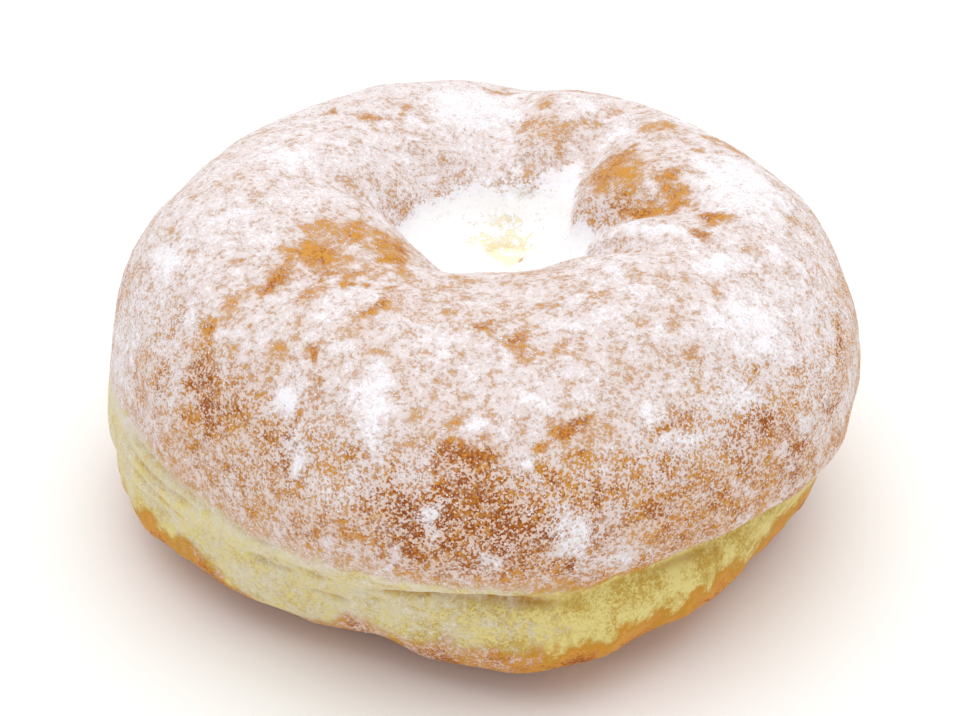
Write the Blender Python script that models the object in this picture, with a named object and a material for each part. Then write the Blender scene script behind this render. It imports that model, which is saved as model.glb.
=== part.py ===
"""A bean paste doughnut: a plump, sugar-dusted yeast doughnut with a pressed dimple in the top.

Units are metres, +Z is up, and the origin is at the middle of the underside, on the table.
The doughnut is one solid. Its mean cross-section is a chain of rounded quarters, spun about Z.
The spun blank is then shaped the way dough is: it swells unevenly, folds run out of the dimple,
a crease parts the domed top from the pale band round the middle, and small dents mark the crust.
"""

import math
from dataclasses import dataclass

import bmesh
import bpy
from mathutils import Vector, noise

MM = 0.001

# Overall size.
DOME_RADIUS = 42.5 * MM
TOP_HEIGHT = 39.9 * MM

# Underside and lower crust.
FOOT_RADIUS = 19.0 * MM
LOWER_EDGE_RADIUS = 40.4 * MM
LOWER_EDGE_HEIGHT = 9.0 * MM

# The crease under the dome's skirt, between the top and the pale band.
CREASE_INSET = 1.1 * MM
CREASE_HEIGHT = 15.3 * MM
SKIRT_RISE = 4.5 * MM

# The crest of the ring and the dimple pressed into it, a little behind the middle.
CREST_RADIUS = 24.5 * MM
DIMPLE_WALL_RADIUS = 9.7 * MM
DIMPLE_WALL_DROP = 8.0 * MM
DIMPLE_DEPTH = 12.5 * MM
DIMPLE_SET_BACK = 3.2 * MM

# How full each rounded quarter is: 1 is an ellipse, less is squarer.
LOWER_FULLNESS = 0.95
BAND_FULLNESS = 0.90
DOME_FULLNESS = 0.95
DIMPLE_FULLNESS = 0.90

# Facets round the doughnut, and along each stretch of its cross-section.
SEGMENTS = 112
LOWER_STEPS = 8
BAND_STEPS = 6
SKIRT_STEPS = 5
DOME_STEPS = 15
SHOULDER_STEPS = 8
FLOOR_STEPS = 5

# Height of the point inside the dough that dents are aimed at.
HUB_HEIGHT = 15.0 * MM

# Half the height of the groove that a pinch cuts.
PINCH_HALF_HEIGHT = 1.5 * MM

# Lumps all over the crust, as (spacing, height), and how much higher they are under the band.
LUMPS = ((15.0 * MM, 0.70 * MM), (6.5 * MM, 0.45 * MM))
LOWER_LUMP_GAIN = 1.8


@dataclass(frozen=True)
class Wave:
    """One ripple round the doughnut: how often it repeats, how high it is and where it peaks."""

    count: int
    height: float
    peak_deg: float


@dataclass(frozen=True)
class Fold:
    """A valley that runs outwards from the dimple, as seen from above."""

    azimuth_deg: float
    depth: float
    half_width: float
    start: float
    reach: float
    bend_deg: float = 0.0


@dataclass(frozen=True)
class Pinch:
    """A stretch of the crease under the skirt that bites deeper into the dough."""

    azimuth_deg: float
    spread_deg: float
    depth: float


@dataclass(frozen=True)
class Dent:
    """A soft hollow, or with a negative depth a swelling, aimed at the hub from outside."""

    azimuth_deg: float
    elevation_deg: float
    depth: float
    spread_deg: float


# Azimuths run anticlockwise from +X as seen from above; -90 is the front.
DOME_WAVES = (
    Wave(1, 0.79 * MM, 155.0),
    Wave(2, 0.26 * MM, 53.0),
    Wave(3, 0.21 * MM, -92.0),
    Wave(4, 0.85 * MM, -10.0),
    Wave(5, 0.38 * MM, -148.0),
)
LOWER_WAVES = (
    Wave(1, 1.32 * MM, 170.0),
    Wave(2, 0.97 * MM, 37.0),
    Wave(3, 0.96 * MM, 175.0),
    Wave(4, 1.31 * MM, 40.0),
    Wave(6, 0.57 * MM, -131.0),
)
CREST_WAVES = (
    Wave(1, 1.42 * MM, -134.0),
    Wave(2, 1.31 * MM, -13.0),
    Wave(3, 0.32 * MM, -122.0),
)
CREASE_WAVES = (
    Wave(1, 0.54 * MM, -23.0),
    Wave(2, 0.96 * MM, -148.0),
    Wave(3, 0.47 * MM, 49.0),
)

FOLDS = (
    Fold(50.0, 3.4 * MM, 3.2 * MM, 5.0 * MM, 33.0 * MM, 4.0),
    Fold(-1.0, 2.8 * MM, 2.6 * MM, 5.0 * MM, 29.0 * MM, -8.0),
    Fold(-38.0, 2.6 * MM, 2.2 * MM, 5.0 * MM, 28.0 * MM, 8.0),
    Fold(90.0, 2.2 * MM, 3.8 * MM, 5.0 * MM, 45.0 * MM, -10.0),
    Fold(130.0, 1.0 * MM, 3.0 * MM, 6.0 * MM, 22.0 * MM, 5.0),
    Fold(174.0, 2.2 * MM, 3.2 * MM, 5.0 * MM, 25.0 * MM, 6.0),
    Fold(-112.0, 1.0 * MM, 3.0 * MM, 6.0 * MM, 22.0 * MM, -8.0),
)
PINCHES = (
    Pinch(-18.0, 12.0, 1.0 * MM),
    Pinch(-52.0, 20.0, 2.0 * MM),
    Pinch(-92.0, 15.0, 1.5 * MM),
    Pinch(-124.0, 7.0, 0.8 * MM),
    Pinch(38.0, 16.0, 1.4 * MM),
    Pinch(82.0, 20.0, 1.9 * MM),
    Pinch(138.0, 13.0, 1.2 * MM),
)
DENTS = (
    Dent(-150.0, 42.0, 1.0 * MM, 13.0),
    Dent(-78.0, 40.0, 0.8 * MM, 12.0),
    Dent(-22.0, 34.0, 0.9 * MM, 12.0),
    Dent(28.0, 52.0, -0.9 * MM, 10.0),
    Dent(108.0, 38.0, -1.0 * MM, 15.0),
    Dent(165.0, 28.0, 0.7 * MM, 12.0),
    Dent(-112.0, 20.0, -0.7 * MM, 14.0),
    Dent(-55.0, 22.0, -0.6 * MM, 13.0),
    Dent(75.0, 14.0, -0.6 * MM, 14.0),
    Dent(-128.0, -14.0, -0.5 * MM, 9.0),
    Dent(-107.0, -20.0, 1.1 * MM, 7.0),
    Dent(-68.0, -15.0, 0.4 * MM, 8.0),
    Dent(-56.0, -20.0, 1.0 * MM, 7.0),
    Dent(38.0, -18.0, 0.9 * MM, 10.0),
    Dent(140.0, -17.0, 0.9 * MM, 10.0),
    Dent(-168.0, -6.0, -1.1 * MM, 12.0),
    Dent(-42.0, -11.0, -0.9 * MM, 7.0),
    Dent(-16.0, -1.0, 0.8 * MM, 9.0),
    Dent(96.0, 36.0, 0.6 * MM, 11.0),
)

CRUST_COLOUR = (0.66, 0.46, 0.30, 1.0)
CRUST_ROUGHNESS = 0.85


def smooth_step(value, low, high):
    """0 below low, 1 above high, and a smooth slope between them."""
    share = min(1.0, max(0.0, (value - low) / (high - low)))
    return share * share * (3.0 - 2.0 * share)


def ripple(waves, azimuth):
    """The sum of the waves at an azimuth in radians."""
    return sum(w.height * math.cos(w.count * azimuth - math.radians(w.peak_deg)) for w in waves)


def turned(azimuth, target):
    """The angle from target to azimuth, from -pi to pi."""
    return (azimuth - target + math.pi) % (2.0 * math.pi) - math.pi


def quarter(start, end, steps, fullness, level_first):
    """The points after start of a rounded quarter to end, leaving level or upright."""
    points = []
    for step in range(1, steps + 1):
        angle = 0.5 * math.pi * step / steps
        rise = math.sin(angle) ** fullness
        run = 1.0 - math.cos(angle) ** fullness if step < steps else 1.0
        share_r, share_z = (rise, run) if level_first else (run, rise)
        points.append(
            (
                start[0] + (end[0] - start[0]) * share_r,
                start[1] + (end[1] - start[1]) * share_z,
            )
        )
    return points


def mean_profile():
    """The mean cross-section as (radius, height), from under the middle up to the dimple's floor."""
    under = (0.0, 0.0)
    foot = (FOOT_RADIUS, 0.0)
    lower_edge = (LOWER_EDGE_RADIUS, LOWER_EDGE_HEIGHT)
    crease = (DOME_RADIUS - CREASE_INSET, CREASE_HEIGHT)
    equator = (DOME_RADIUS, CREASE_HEIGHT + SKIRT_RISE)
    crest = (CREST_RADIUS, TOP_HEIGHT)
    wall = (DIMPLE_WALL_RADIUS, TOP_HEIGHT - DIMPLE_WALL_DROP)
    floor = (0.0, TOP_HEIGHT - DIMPLE_DEPTH)
    return [
        under,
        foot,
        *quarter(foot, lower_edge, LOWER_STEPS, LOWER_FULLNESS, True),
        *quarter(lower_edge, crease, BAND_STEPS, BAND_FULLNESS, False),
        *quarter(crease, equator, SKIRT_STEPS, BAND_FULLNESS, True),
        *quarter(equator, crest, DOME_STEPS, DOME_FULLNESS, False),
        *quarter(crest, wall, SHOULDER_STEPS, DIMPLE_FULLNESS, True),
        *quarter(wall, floor, FLOOR_STEPS, DIMPLE_FULLNESS, False),
    ]


def spin_blank(mesh):
    """Spins the mean cross-section about Z into a closed blank."""
    points = [mesh.verts.new((radius, 0.0, height)) for radius, height in mean_profile()]
    edges = [mesh.edges.new(pair) for pair in zip(points, points[1:])]
    bmesh.ops.spin(
        mesh,
        geom=points + edges,
        axis=(0.0, 0.0, 1.0),
        cent=(0.0, 0.0, 0.0),
        angle=2.0 * math.pi,
        steps=SEGMENTS,
    )
    bmesh.ops.remove_doubles(mesh, verts=mesh.verts, dist=0.001 * MM)
    bmesh.ops.recalc_face_normals(mesh, faces=mesh.faces)


def swell(mesh):
    """Makes the round blank as uneven as risen dough: its outline, its crest and its crease."""
    for vert in mesh.verts:
        x, y, z = vert.co
        radius = math.hypot(x, y)
        if radius <= FOOT_RADIUS and z < LOWER_EDGE_HEIGHT:
            continue
        azimuth = math.atan2(y, x)
        on_dome = smooth_step(z, LOWER_EDGE_HEIGHT, CREASE_HEIGHT + SKIRT_RISE)
        outwards = smooth_step(radius, DIMPLE_WALL_RADIUS, DOME_RADIUS)
        growth = on_dome * ripple(DOME_WAVES, azimuth) + (1.0 - on_dome) * ripple(LOWER_WAVES, azimuth)
        below = smooth_step(z, 0.0, CREASE_HEIGHT)
        above = 1.0 - smooth_step(z, CREASE_HEIGHT, TOP_HEIGHT)
        lift = ripple(CREASE_WAVES, azimuth) * below * above
        crown = smooth_step(z, CREASE_HEIGHT, TOP_HEIGHT) * smooth_step(radius, 0.0, CREST_RADIUS)
        lift += ripple(CREST_WAVES, azimuth) * crown
        stretch = (radius + growth * outwards) / radius if radius > 0.0 else 1.0
        inwards = 1.0 - smooth_step(radius, DIMPLE_WALL_RADIUS, DOME_RADIUS)
        set_back = DIMPLE_SET_BACK * on_dome * inwards
        vert.co = (x * stretch, y * stretch + set_back, z + lift)


def fold_depth(fold, place):
    """How deep a fold is at a place seen from above."""
    away_x, away_y = place.x, place.y - DIMPLE_SET_BACK
    radius = math.hypot(away_x, away_y)
    along = (radius - fold.start) / (fold.reach - fold.start)
    if not 0.0 < along < 1.0:
        return 0.0
    line = math.radians(fold.azimuth_deg + fold.bend_deg * along)
    angle = turned(math.atan2(away_y, away_x), line)
    across = radius * math.sin(angle) / fold.half_width
    if abs(angle) > 0.5 * math.pi:
        return 0.0
    fade = smooth_step(along, 0.0, 0.25) * (1.0 - smooth_step(along, 0.35, 1.0))
    return fold.depth * fade * math.exp(-across * across)


def pinch_depth(pinch, place):
    """How deep a pinch is at a place on the side of the dough."""
    azimuth = math.atan2(place.y, place.x)
    along = math.degrees(turned(azimuth, math.radians(pinch.azimuth_deg))) / pinch.spread_deg
    above = (place.z - CREASE_HEIGHT - ripple(CREASE_WAVES, azimuth)) / PINCH_HALF_HEIGHT
    return pinch.depth * math.exp(-along * along - above * above)


def dent_depth(dent, place):
    """How deep a dent is at a place, by its angle from the dent's own line out of the hub."""
    azimuth, elevation = math.radians(dent.azimuth_deg), math.radians(dent.elevation_deg)
    line = Vector(
        (
            math.cos(azimuth) * math.cos(elevation),
            math.sin(azimuth) * math.cos(elevation),
            math.sin(elevation),
        )
    )
    outwards = place - Vector((0.0, 0.0, HUB_HEIGHT))
    share = math.degrees(outwards.angle(line)) / dent.spread_deg
    return dent.depth * math.exp(-share * share)


def lump_height(place):
    """The height of the crust's lumps at a place."""
    under_band = 1.0 - smooth_step(place.z, LOWER_EDGE_HEIGHT, CREASE_HEIGHT)
    gain = 1.0 + (LOWER_LUMP_GAIN - 1.0) * under_band
    return gain * sum(height * noise.noise(place / spacing) for spacing, height in LUMPS)


def work_surface(mesh):
    """Presses the folds and dents into the skin and raises its lumps. The foot stays flat."""
    mesh.normal_update()
    moves = {}
    for vert in mesh.verts:
        place = vert.co.copy()
        if place.z <= 0.0:
            continue
        on_top = smooth_step(place.z, CREASE_HEIGHT, CREASE_HEIGHT + 2.0 * SKIRT_RISE)
        off_foot = smooth_step(place.z, 0.0, 0.5 * LOWER_EDGE_HEIGHT)
        pressed = on_top * sum(fold_depth(fold, place) for fold in FOLDS)
        pressed += off_foot * sum(dent_depth(dent, place) for dent in DENTS)
        pressed += sum(pinch_depth(pinch, place) for pinch in PINCHES)
        moves[vert] = vert.normal * (off_foot * lump_height(place) - pressed)
    for vert, move in moves.items():
        vert.co += move


def centre_on_origin(mesh):
    """Puts the middle of the bounding box over the origin."""
    for axis in (0, 1):
        values = [vert.co[axis] for vert in mesh.verts]
        middle = 0.5 * (min(values) + max(values))
        for vert in mesh.verts:
            vert.co[axis] -= middle


def dusted_crust():
    """Fried dough under powdered sugar, as one even colour."""
    material = bpy.data.materials.new("dusted_crust")
    material.use_nodes = True
    shader = material.node_tree.nodes["Principled BSDF"]
    shader.inputs["Base Color"].default_value = CRUST_COLOUR
    shader.inputs["Roughness"].default_value = CRUST_ROUGHNESS
    shader.inputs["Metallic"].default_value = 0.0
    return material


def make_doughnut():
    """The whole doughnut as one closed solid."""
    mesh = bmesh.new()
    spin_blank(mesh)
    swell(mesh)
    work_surface(mesh)
    centre_on_origin(mesh)
    data = bpy.data.meshes.new("doughnut")
    mesh.to_mesh(data)
    mesh.free()
    data.shade_smooth()
    data.materials.append(dusted_crust())
    doughnut = bpy.data.objects.new("doughnut", data)
    bpy.context.scene.collection.objects.link(doughnut)
    return doughnut


def main():
    for old in list(bpy.data.objects):
        bpy.data.objects.remove(old, do_unlink=True)
    make_doughnut()


main()
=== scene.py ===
"""Looks of a bean paste doughnut: fried yeast dough with a pale band, dusted with powdered sugar.

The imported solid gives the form. Here its skin gets its fine relief, its browning and its sugar,
and loose sugar lies on it as grains. Lengths are in millimetres wherever a name ends in _mm, and
in metres otherwise. Places on the skin are given as directions out of a hub inside the dough:
azimuth anticlockwise from +X as seen from above, -90 being the front, and elevation.
"""

from __future__ import annotations

import logging
import math
from collections.abc import Callable
from dataclasses import dataclass, field
from enum import Enum
from functools import partial

import bpy
import numpy as np
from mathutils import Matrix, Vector, noise
from mathutils.bvhtree import BVHTree

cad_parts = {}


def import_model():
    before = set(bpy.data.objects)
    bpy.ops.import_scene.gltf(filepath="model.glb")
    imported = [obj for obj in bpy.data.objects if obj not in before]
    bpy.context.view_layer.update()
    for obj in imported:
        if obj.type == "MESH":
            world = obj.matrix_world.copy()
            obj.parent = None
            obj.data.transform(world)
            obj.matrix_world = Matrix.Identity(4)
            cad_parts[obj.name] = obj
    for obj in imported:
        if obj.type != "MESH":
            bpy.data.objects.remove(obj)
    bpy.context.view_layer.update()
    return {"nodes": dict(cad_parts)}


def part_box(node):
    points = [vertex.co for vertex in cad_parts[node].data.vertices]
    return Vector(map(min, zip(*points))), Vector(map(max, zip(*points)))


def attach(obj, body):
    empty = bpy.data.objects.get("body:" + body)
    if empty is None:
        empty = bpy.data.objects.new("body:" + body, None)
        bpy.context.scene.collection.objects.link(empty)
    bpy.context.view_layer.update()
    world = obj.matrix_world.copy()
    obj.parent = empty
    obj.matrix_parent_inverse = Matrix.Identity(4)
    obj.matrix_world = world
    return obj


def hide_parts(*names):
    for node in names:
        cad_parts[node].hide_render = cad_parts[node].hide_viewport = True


LOG = logging.getLogger("doughnut")
Adder = Callable[..., bpy.types.NodeOutputs]
Pair = tuple[float, float]

MM = 0.001
BODY = "root"
CAD_NODE = "doughnut"
HUB = Vector((0.0, 0.0, 15.0 * MM))
DIMPLE_CENTRE = Vector((0.8 * MM, 4.6 * MM, 0.0))
# Noise that moves places takes its offsets from the clock unless it is seeded.
WARP_SEED = 4


class Field(Enum):
    """Measures that the skin's points carry for its material."""

    DUSTING = "dusting"
    # Browning of the crust, with painted shade on its sideways-facing parts added in.
    BROWNING = "browning"
    SHEEN = "sheen"
    CREAM = "cream"
    SPECKLE = "speckle"
    # How deep a point lies in a wrinkle: the material paints shade there and lets less sugar lie.
    CREASE = "crease"


class Pattern(Enum):
    """Patterns that the dough's material draws by itself, from broad to fine."""

    TONE = "tone"
    CLUMP = "clump"
    GRAIN = "grain"
    SHADE = "shade"
    STREWN = "strewn"


@dataclass(frozen=True)
class Patch:
    """An elliptical patch on the skin, of thick sugar or of bare crust.

    The turn is anticlockwise from level, seen from outside.
    """

    azimuth_deg: float
    elevation_deg: float
    half_length_mm: float
    half_width_mm: float
    turn_deg: float
    strength: float


@dataclass(frozen=True)
class Groove:
    """A thin wrinkle on the skin through three directions, each an azimuth and an elevation."""

    start: Pair
    middle: Pair
    end: Pair
    depth_mm: float
    width_mm: float


@dataclass(frozen=True)
class Cluster:
    """Small patches drawn at random about a direction."""

    azimuth_deg: float
    elevation_deg: float
    azimuth_reach_deg: float
    elevation_reach_deg: float
    count: int
    smallest_mm: float
    largest_mm: float
    strength: float
    seed: int

    def patches(self) -> tuple[Patch, ...]:
        """Draws the patches.

        Returns:
            The patches, half as wide as long on average and turned at random.
        """
        draw = np.random.default_rng(self.seed)
        made = []
        for _ in range(self.count):
            length = draw.uniform(self.smallest_mm, self.largest_mm)
            made.append(
                Patch(
                    self.azimuth_deg + self.azimuth_reach_deg * draw.uniform(-1.0, 1.0),
                    self.elevation_deg + self.elevation_reach_deg * draw.uniform(-1.0, 1.0),
                    length,
                    length * draw.uniform(0.3, 0.8),
                    draw.uniform(-60.0, 60.0),
                    self.strength * draw.uniform(0.7, 1.0),
                )
            )
        return tuple(made)


# A patch's reach above and below the skin, and the room kept in the box for loose grains.
PATCH_THICKNESS_MM = 5.0
GRAIN_ROOM_MM = 0.15

# As shares of a wrinkle's length: how far it fades out past its ends, and where it is full.
GROOVE_PAST_END = 0.15
GROOVE_FULL = 0.2

# Wrinkles that stand out: across the left of the band, under the front crust, down the right of
# the band, and round the dimple.
GROOVES = (
    Groove((-160, 7), (-146, 6), (-136, 4), 0.50, 0.55),
    Groove((-162, 4), (-150, 3), (-140, 3), 0.45, 0.50),
    Groove((-158, 1), (-150, 0), (-142, -1), 0.35, 0.45),
    Groove((-137, 6), (-130, 5), (-122, 5), 0.35, 0.50),
    Groove((-125, 3), (-121, 1), (-116, -1), 0.55, 0.45),
    Groove((-119, -5), (-116, -5), (-112, -5), 0.45, 0.35),
    Groove((-110, 5), (-106, 5), (-102, 4), 0.25, 0.35),
    Groove((-107, 1), (-93, 2), (-79, 1), 0.70, 0.55),
    Groove((-50, 1), (-49, -2), (-50, -8), 0.35, 0.45),
    Groove((93, 61), (78, 52), (59, 47), 0.30, 0.40),
    Groove((86, 54), (74, 50), (61, 49), 0.25, 0.35),
    Groove((100, 70), (60, 66), (40, 58), 0.30, 0.40),
    Groove((60, 75), (40, 66), (25, 60), 0.30, 0.40),
)

# Round the doughnut by azimuth: the pale band's upper and lower edge in mm, how softly the crust
# ends at the upper one, how thickly the band and the base are filmed with sugar, how far the base
# is browned, how strongly single grains stand out from the crust, and how much more sugar than
# at the front has settled on it.
BAND_TOP = (
    (-159, 21.4), (-151, 20.4), (-139, 18.8), (-127, 18.6), (-120, 18.8), (-110, 19.9),
    (-100, 20.1), (-88, 19.6), (-76, 18.2), (-60, 16.6), (-10, 16.2), (40, 17.2), (90, 16.0),
    (140, 18.0),
)
BAND_FOOT = (
    (-163, 8.2), (-156, 10.9), (-143, 10.4), (-136, 8.6), (-128, 6.6), (-119, 6.8), (-112, 9.6),
    (-103, 9.6), (-95, 10.0), (-87, 10.6), (-79, 10.8), (-70, 11.0), (-60, 11.4), (-50, 11.2),
    (-40, 10.6), (-28, 10.0), (30, 9.0), (100, 10.4), (150, 8.8),
)
EDGE_SOFTNESS = (
    (-165, 1.7), (-125, 1.3), (-85, 1.0), (-62, 0.5), (-20, 0.6), (40, 1.0), (150, 1.3),
)
BAND_FILM = (
    (-165, 0.85), (-135, 0.8), (-110, 0.9), (-90, 0.8), (-78, 0.4), (-65, 0.0), (-35, 0.0),
    (-20, 0.6), (40, 0.75), (100, 0.65), (150, 0.85),
)
BASE_FILM = (
    (-165, 0.3), (-151, 0.2), (-142, 0.6), (-128, 0.9), (-90, 0.9), (-77, 0.4), (-65, 0.0),
    (-30, 0.0), (0, 0.8), (60, 0.85), (110, 0.85), (150, 0.65),
)
BASE_BROWNING = (
    (-160, 0.7), (-110, 0.85), (-80, 0.8), (-65, 0.65), (-35, 0.7), (60, 1.0), (140, 0.9),
)
SPECKLING = (
    (-165, 0.65), (-125, 0.75), (-105, 0.95), (-85, 1.1), (-60, 1.05), (-25, 0.85), (90, 0.8),
)
SETTLED = (
    (-165, 0.07), (-148, 0.03), (-125, 0.01), (-95, 0.03), (-60, 0.01), (-20, 0.05), (15, 0.07),
    (60, 0.06), (105, 0.08), (140, 0.1),
)

# Where the dimple's pale inside shows through its sugar.
CREAM_PATCHES = (
    Patch(72, 50, 6.5, 4.4, 50, 0.66),
    Patch(77, 55, 6.0, 2.4, -15, 0.72),
)
SCORCHED_FLECK = Patch(54, 56, 1.8, 0.9, -10, 0.9)

# Where sugar lies thick: valleys, flats and the places that the sieve passed over twice.
SUGAR_PATCHES = (
    # The back, behind the dimple.
    Patch(93, 42, 6.5, 5.5, -55, 1.0),
    Patch(55, 45, 5.0, 1.2, 20, 0.8),
    Patch(54, 38, 3.5, 1.0, 0, 0.5),
    # The left, from the shoulder up to the dimple.
    Patch(162, 49, 3.4, 2.1, 75, 0.9),
    Patch(-170, 42, 4.0, 3.0, -40, 0.15),
    Patch(-167, 33, 3.0, 2.0, 50, 0.8),
    Patch(-166, 18, 8.0, 5.0, 70, 0.5),
    Patch(-160, 7, 3.5, 1.2, 15, 0.5),
    Patch(-160, 36, 6.0, 4.0, 30, 0.15),
    Patch(145, 56, 4.5, 1.5, -80, 0.7),
    Patch(-148, 19, 3.0, 2.0, 30, 0.4),
    # The front left: three falls side by side.
    Patch(-109, 31, 3.5, 2.3, -75, 0.9),
    Patch(-124, 29, 2.0, 1.8, 50, 0.9),
    Patch(-120, 23, 2.2, 1.4, 75, 0.8),
    Patch(-109, 36, 2.0, 1.5, 20, 0.8),
    Patch(-127, 43, 2.5, 1.3, 30, 0.6),
    # The front: small falls among the bare crust.
    Patch(-97, 18, 2.0, 1.1, -85, 0.7),
    Patch(-91, 30, 1.5, 0.9, -25, 1.0),
    Patch(-77, 14, 3.6, 2.3, -60, 0.8),
    Patch(-73, 9, 3.2, 1.4, -5, 0.4),
    Patch(-79, 33, 2.5, 1.0, 0, 0.6),
    Patch(-70, 34, 1.6, 1.4, 0, 0.6),
    Patch(-62, 29, 1.8, 1.0, -15, 0.6),
    # The right: a broad fall on the shoulder, long thin ones above it, and one on the lobe.
    Patch(17, 52, 2.2, 1.2, 20, 0.5),
    Patch(10, 40, 6.5, 4.8, 15, 1.0),
    Patch(-3, 38, 3.2, 2.2, 15, 0.7),
    Patch(-24, 41, 3.0, 2.0, -45, 0.8),
    Patch(-33, 33, 5.0, 4.0, -45, 0.9),
    Patch(-13, 53, 7.0, 1.3, 40, 0.8),
    Patch(-5, 59, 2.6, 1.2, 20, 0.9),
    Patch(-44, 50, 5.0, 1.1, 10, 0.7),
    Patch(-62, 44, 4.0, 1.2, 5, 0.6),
    Patch(-44, 26, 3.6, 1.6, -40, 0.6),
    Patch(-56, 23, 3.4, 1.3, -20, 0.5),
    Patch(-20, 12, 8.0, 2.5, 5, 0.35),
    Patch(-15, 28, 9.0, 5.0, 10, 0.25),
)
SUGAR_CLUSTERS = (
    Cluster(-110, 40, 30, 10, 14, 0.8, 1.8, 0.7, 21),
    Cluster(-40, 38, 30, 12, 16, 0.8, 2.0, 0.7, 22),
    Cluster(-160, 33, 25, 12, 14, 0.8, 2.0, 0.3, 23),
    Cluster(-95, 16, 28, 9, 14, 0.6, 1.3, 0.7, 24),
    Cluster(-30, 18, 22, 8, 10, 0.8, 1.8, 0.5, 25),
    Cluster(90, 26, 80, 14, 26, 1.0, 3.2, 0.8, 26),
)

# Where the crust shows bare: ridges that were touched, and glossy places that shed the sugar.
BARE_PATCHES = (
    # Left of the dimple.
    Patch(-145, 63, 3.2, 2.0, -35, 0.9),
    Patch(-153, 58, 2.2, 1.8, -60, 0.8),
    Patch(-146, 51, 2.8, 2.4, 60, 1.0),
    Patch(-130, 59, 2.8, 1.4, -60, 0.9),
    Patch(-146, 43, 2.4, 1.4, 80, 1.0),
    Patch(-130, 49, 3.0, 0.9, 40, 1.0),
    Patch(-117, 47, 2.4, 0.9, 0, 1.0),
    # The left shoulder.
    Patch(-146, 32, 2.2, 1.6, -40, 0.8),
    Patch(-142, 26, 3.0, 1.4, 25, 0.6),
    Patch(-138, 21, 2.8, 2.0, -70, 0.75),
    Patch(-137, 24, 7.0, 4.5, 30, 0.25),
    # Behind the dimple.
    Patch(105, 54, 2.8, 1.0, -20, 0.6),
    Patch(64, 45, 2.0, 1.7, -25, 1.0),
    Patch(70, 44, 5.0, 3.0, 0, 0.45),
    # The big lobe at the dimple's right, and the flecks beyond it.
    Patch(32, 52, 5.4, 3.6, 35, 1.0),
    Patch(25, 57, 2.8, 1.8, 40, 0.8),
    Patch(7, 50, 4.6, 1.8, 20, 1.0),
    Patch(11, 48, 2.6, 1.5, -70, 0.9),
    Patch(45, 38, 2.5, 1.4, -20, 0.7),
    Patch(-7, 44, 1.6, 1.4, 70, 1.0),
    Patch(-16, 45, 1.8, 1.2, -50, 0.9),
    Patch(-16, 55, 3.4, 0.7, 25, 0.9),
    # The front, above the crease.
    Patch(-82, 43, 1.4, 1.3, 0, 0.9),
    Patch(-74, 29, 2.6, 1.0, -20, 1.0),
    Patch(-92, 26, 3.0, 1.7, 0, 0.9),
    Patch(-90, 20, 2.5, 1.6, 85, 0.9),
    Patch(-94, 14, 2.2, 2.0, 0, 0.8),
    Patch(-86, 16, 2.4, 1.4, -5, 0.9),
    Patch(-91, 16, 12.0, 5.8, 0, 0.6),
    Patch(-64, 14, 3.0, 1.4, -20, 0.5),
    # The right side.
    Patch(-26, 14, 2.0, 1.7, -30, 0.7),
    Patch(-18, 21, 2.2, 1.9, 25, 0.5),
    Patch(-42, 20, 2.0, 1.4, -25, 0.5),
    Patch(-50, 14, 7.0, 2.6, 0, 0.2),
)
BARE_CLUSTERS = (
    Cluster(-140, 50, 20, 12, 22, 0.6, 1.9, 0.9, 31),
    Cluster(-135, 27, 16, 12, 22, 0.7, 1.8, 0.65, 32),
    Cluster(-92, 20, 18, 12, 20, 0.7, 1.8, 0.9, 33),
    Cluster(-60, 18, 24, 10, 18, 0.6, 1.6, 0.5, 34),
    Cluster(20, 48, 30, 9, 20, 0.6, 1.8, 0.8, 35),
    Cluster(-60, 42, 30, 10, 14, 0.5, 1.4, 0.8, 36),
    Cluster(-25, 24, 20, 14, 12, 0.6, 1.6, 0.5, 37),
    Cluster(100, 48, 40, 8, 10, 0.6, 1.6, 0.7, 38),
    Cluster(90, 24, 75, 15, 46, 0.8, 2.6, 0.65, 39),
)


def linear(hex_colour: str) -> tuple[float, float, float, float]:
    """Turns an sRGB hex value into a linear colour.

    Args:
        hex_colour: Six hex digits, with or without a leading #.

    Returns:
        Red, green, blue and an alpha of 1.
    """
    digits = hex_colour.lstrip("#")
    shares = [int(digits[i : i + 2], 16) / 255.0 for i in (0, 2, 4)]
    red, green, blue = (
        s / 12.92 if s <= 0.04045 else ((s + 0.055) / 1.055) ** 2.4 for s in shares
    )
    return red, green, blue, 1.0


def set_inputs(node: bpy.types.Node, values: dict[str | int, object]) -> None:
    """Sets or links some of a node's inputs.

    Args:
        node: The node.
        values: Input sockets by name or index, each with a value or an output to link from.
    """
    for key, value in values.items():
        if isinstance(value, bpy.types.NodeSocket):
            node.id_data.links.new(value, node.inputs[key])
        else:
            node.inputs[key].default_value = value


def add_node(
    tree: bpy.types.NodeTree,
    kind: str,
    settings: dict[str, object] | None = None,
    values: dict[str | int, object] | None = None,
) -> bpy.types.NodeOutputs:
    """Adds a shader node.

    Args:
        tree: The node tree that gets the node.
        kind: The node's type name.
        settings: Properties of the node to set.
        values: Input sockets by name or index, each with a value or an output to link from.

    Returns:
        The new node's outputs.
    """
    made = tree.nodes.new(kind)
    for name, value in (settings or {}).items():
        setattr(made, name, value)
    set_inputs(made, values or {})
    return made.outputs


def new_material(name: str) -> tuple[bpy.types.Material, Adder, bpy.types.Node]:
    """Makes an empty material with a Principled BSDF.

    Args:
        name: The material's name.

    Returns:
        The material, add_node for its node tree, and its Principled BSDF.
    """
    material = bpy.data.materials.new(name)
    material.use_nodes = True
    tree = material.node_tree
    return material, partial(add_node, tree), tree.nodes["Principled BSDF"]


def per_mm(period_mm: float) -> float:
    """The scale of a noise whose features repeat about every period_mm."""
    return 1.0 / (period_mm * MM)


def select_only(target: bpy.types.Object) -> None:
    """Deselects everything, then selects one object and makes it active.

    Args:
        target: The object.
    """
    bpy.ops.object.select_all(action="DESELECT")
    target.select_set(True)
    bpy.context.view_layer.objects.active = target


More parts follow.
